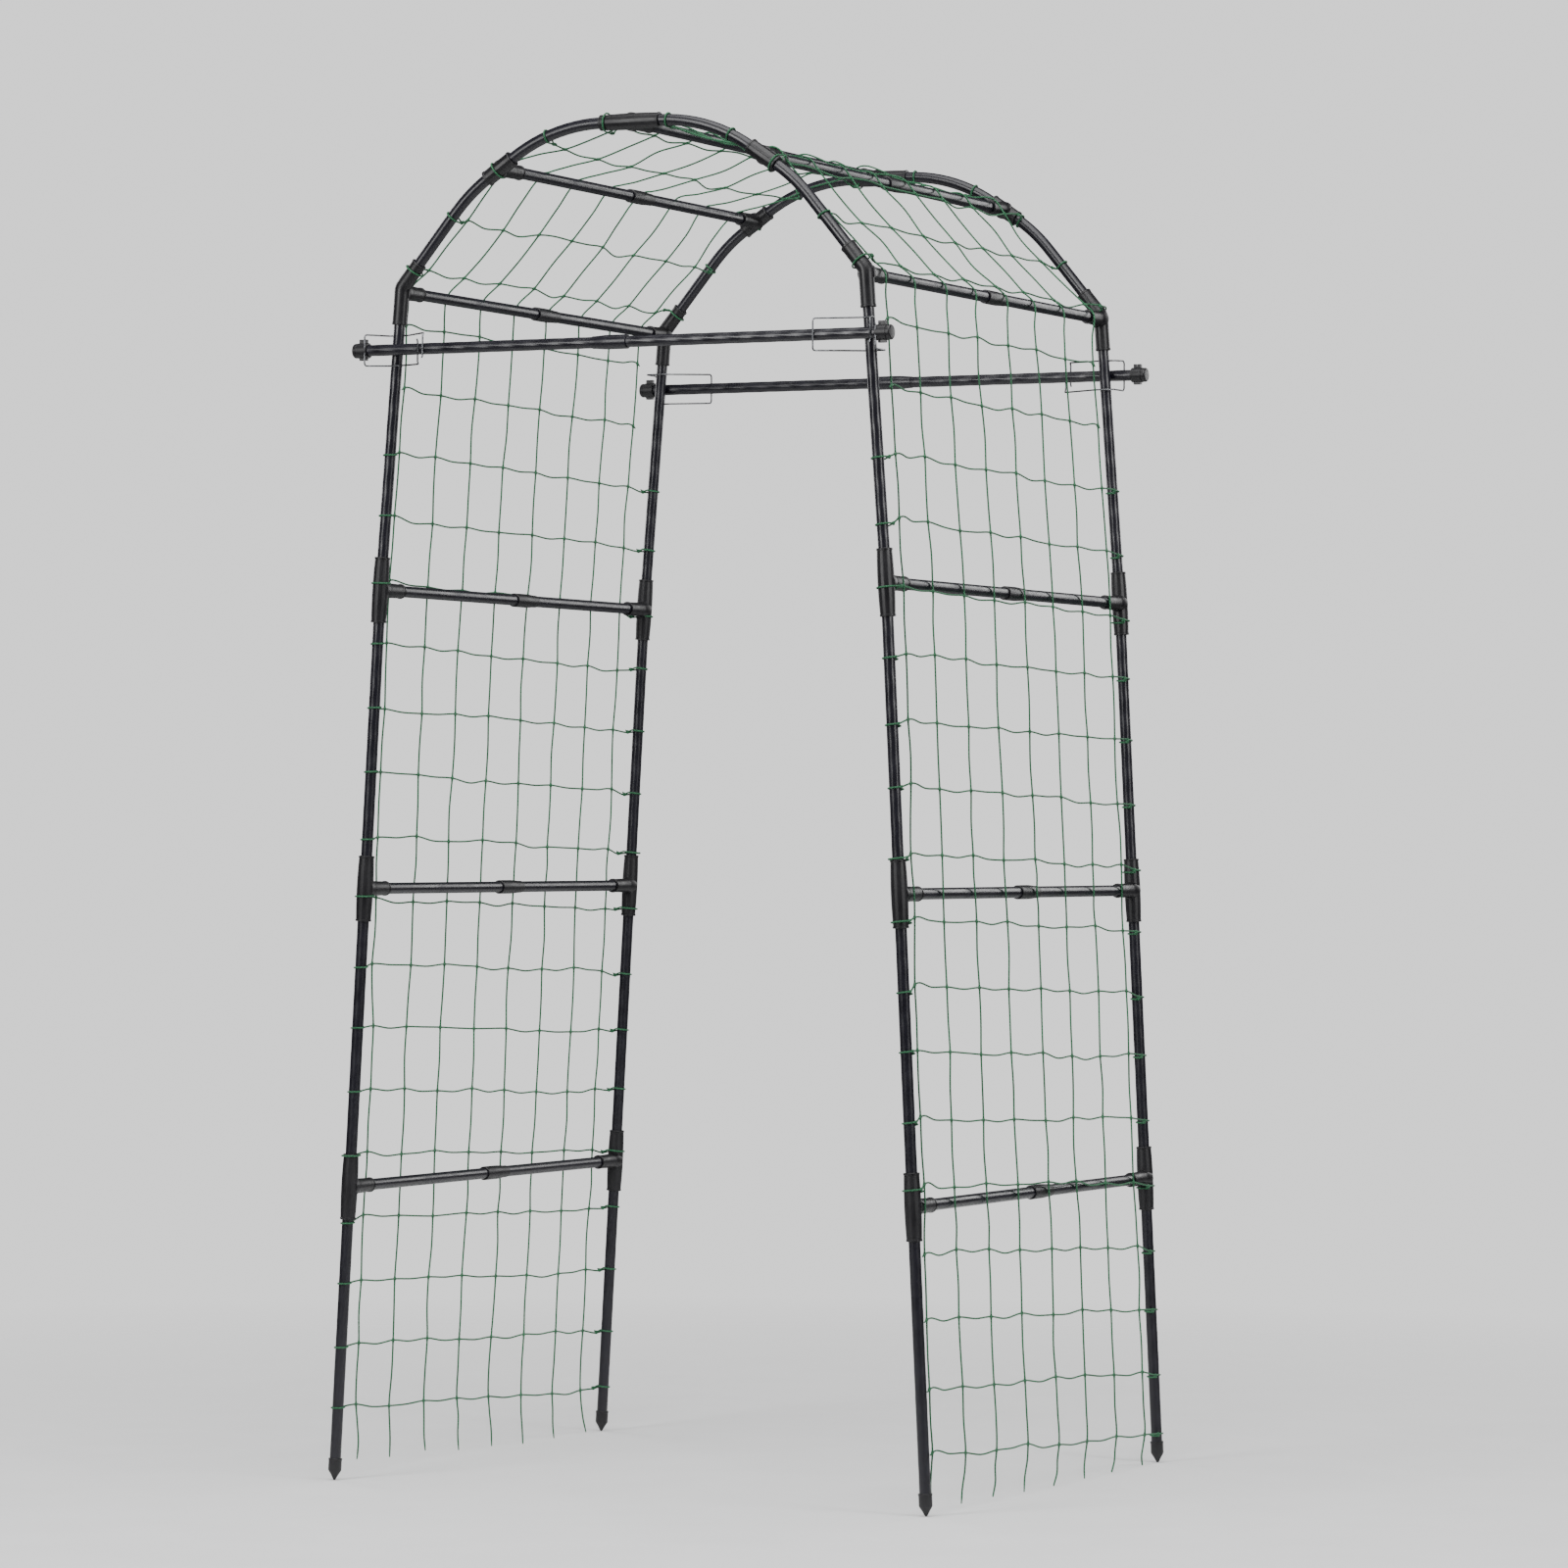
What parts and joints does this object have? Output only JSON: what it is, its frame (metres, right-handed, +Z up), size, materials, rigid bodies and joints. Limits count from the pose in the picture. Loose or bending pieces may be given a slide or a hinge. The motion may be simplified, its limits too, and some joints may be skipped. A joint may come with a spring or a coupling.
{
  "type": "garden trellis arch",
  "caption": "Walk-through garden arch of coated steel tubes and plastic connectors, with a rounded top, a climbing net for plants and sliding crossbars clipped to the legs.",
  "frame": {"origin": "on the ground, midway between the four stake tips", "axes": "+Z up; -Y the front, where one walks in; +X to the right seen from the front"},
  "size_m": [0.9452, 0.8442, 1.904],
  "materials": {
    "coated_steel": "semi-gloss plastic coating on steel tube",
    "black_plastic": "satin moulded plastic",
    "zinc_wire": "galvanised spring wire",
    "green_net": "knotted plastic twine"
  },
  "bodies": {
    "arch_frame": {"front_left_stake_tip": "black_plastic", "front_left_leg_pole": "coated_steel", "front_left_low_tee": "black_plastic", "front_left_middle_tee": "black_plastic", "front_left_high_tee": "black_plastic", "front_left_shoulder_elbow": "black_plastic", "front_left_lower_hoop_tube": "coated_steel", "front_left_upper_hoop_tube": "coated_steel", "front_left_haunch_tee": "black_plastic", "front_right_stake_tip": "black_plastic", "front_right_leg_pole": "coated_steel", "front_right_low_tee": "black_plastic", "front_right_middle_tee": "black_plastic", "front_right_high_tee": "black_plastic", "front_right_shoulder_elbow": "black_plastic", "front_right_lower_hoop_tube": "coated_steel", "front_right_upper_hoop_tube": "coated_steel", "front_right_haunch_tee": "black_plastic", "rear_left_stake_tip": "black_plastic", "rear_left_leg_pole": "coated_steel", "rear_left_low_tee": "black_plastic", "rear_left_middle_tee": "black_plastic", "rear_left_high_tee": "black_plastic", "rear_left_shoulder_elbow": "black_plastic", "rear_left_lower_hoop_tube": "coated_steel", "rear_left_upper_hoop_tube": "coated_steel", "rear_left_haunch_tee": "black_plastic", "rear_right_stake_tip": "black_plastic", "rear_right_leg_pole": "coated_steel", "rear_right_low_tee": "black_plastic", "rear_right_middle_tee": "black_plastic", "rear_right_high_tee": "black_plastic", "rear_right_shoulder_elbow": "black_plastic", "rear_right_lower_hoop_tube": "coated_steel", "rear_right_upper_hoop_tube": "coated_steel", "rear_right_haunch_tee": "black_plastic", "front_crown_tee": "black_plastic", "rear_crown_tee": "black_plastic", "left_low_rung": "coated_steel", "left_middle_rung": "coated_steel", "left_high_rung": "coated_steel", "left_shoulder_rung": "coated_steel", "left_haunch_rung": "coated_steel", "right_low_rung": "coated_steel", "right_middle_rung": "coated_steel", "right_high_rung": "coated_steel", "right_shoulder_rung": "coated_steel", "right_haunch_rung": "coated_steel", "crown_rung": "coated_steel", "climbing_net": "green_net"},
    "front_crossbar_set": {"front_crossbar": "coated_steel", "front_crossbar_left_cap": "black_plastic", "front_crossbar_right_cap": "black_plastic", "front_left_cross_clip": "zinc_wire", "front_right_cross_clip": "zinc_wire"},
    "rear_crossbar_set": {"rear_crossbar": "coated_steel", "rear_crossbar_left_cap": "black_plastic", "rear_crossbar_right_cap": "black_plastic", "rear_left_cross_clip": "zinc_wire", "rear_right_cross_clip": "zinc_wire"}
  },
  "joints": [
    {"name": "front_crossbar_slide", "type": "slide", "parent": "arch_frame", "child": "front_crossbar_set", "axis": [0, 0, 1], "range_m": [-0.09, 0.01]},
    {"name": "rear_crossbar_slide", "type": "slide", "parent": "arch_frame", "child": "rear_crossbar_set", "axis": [0, 0, 1], "range_m": [-0.09, 0.01]}
  ]
}
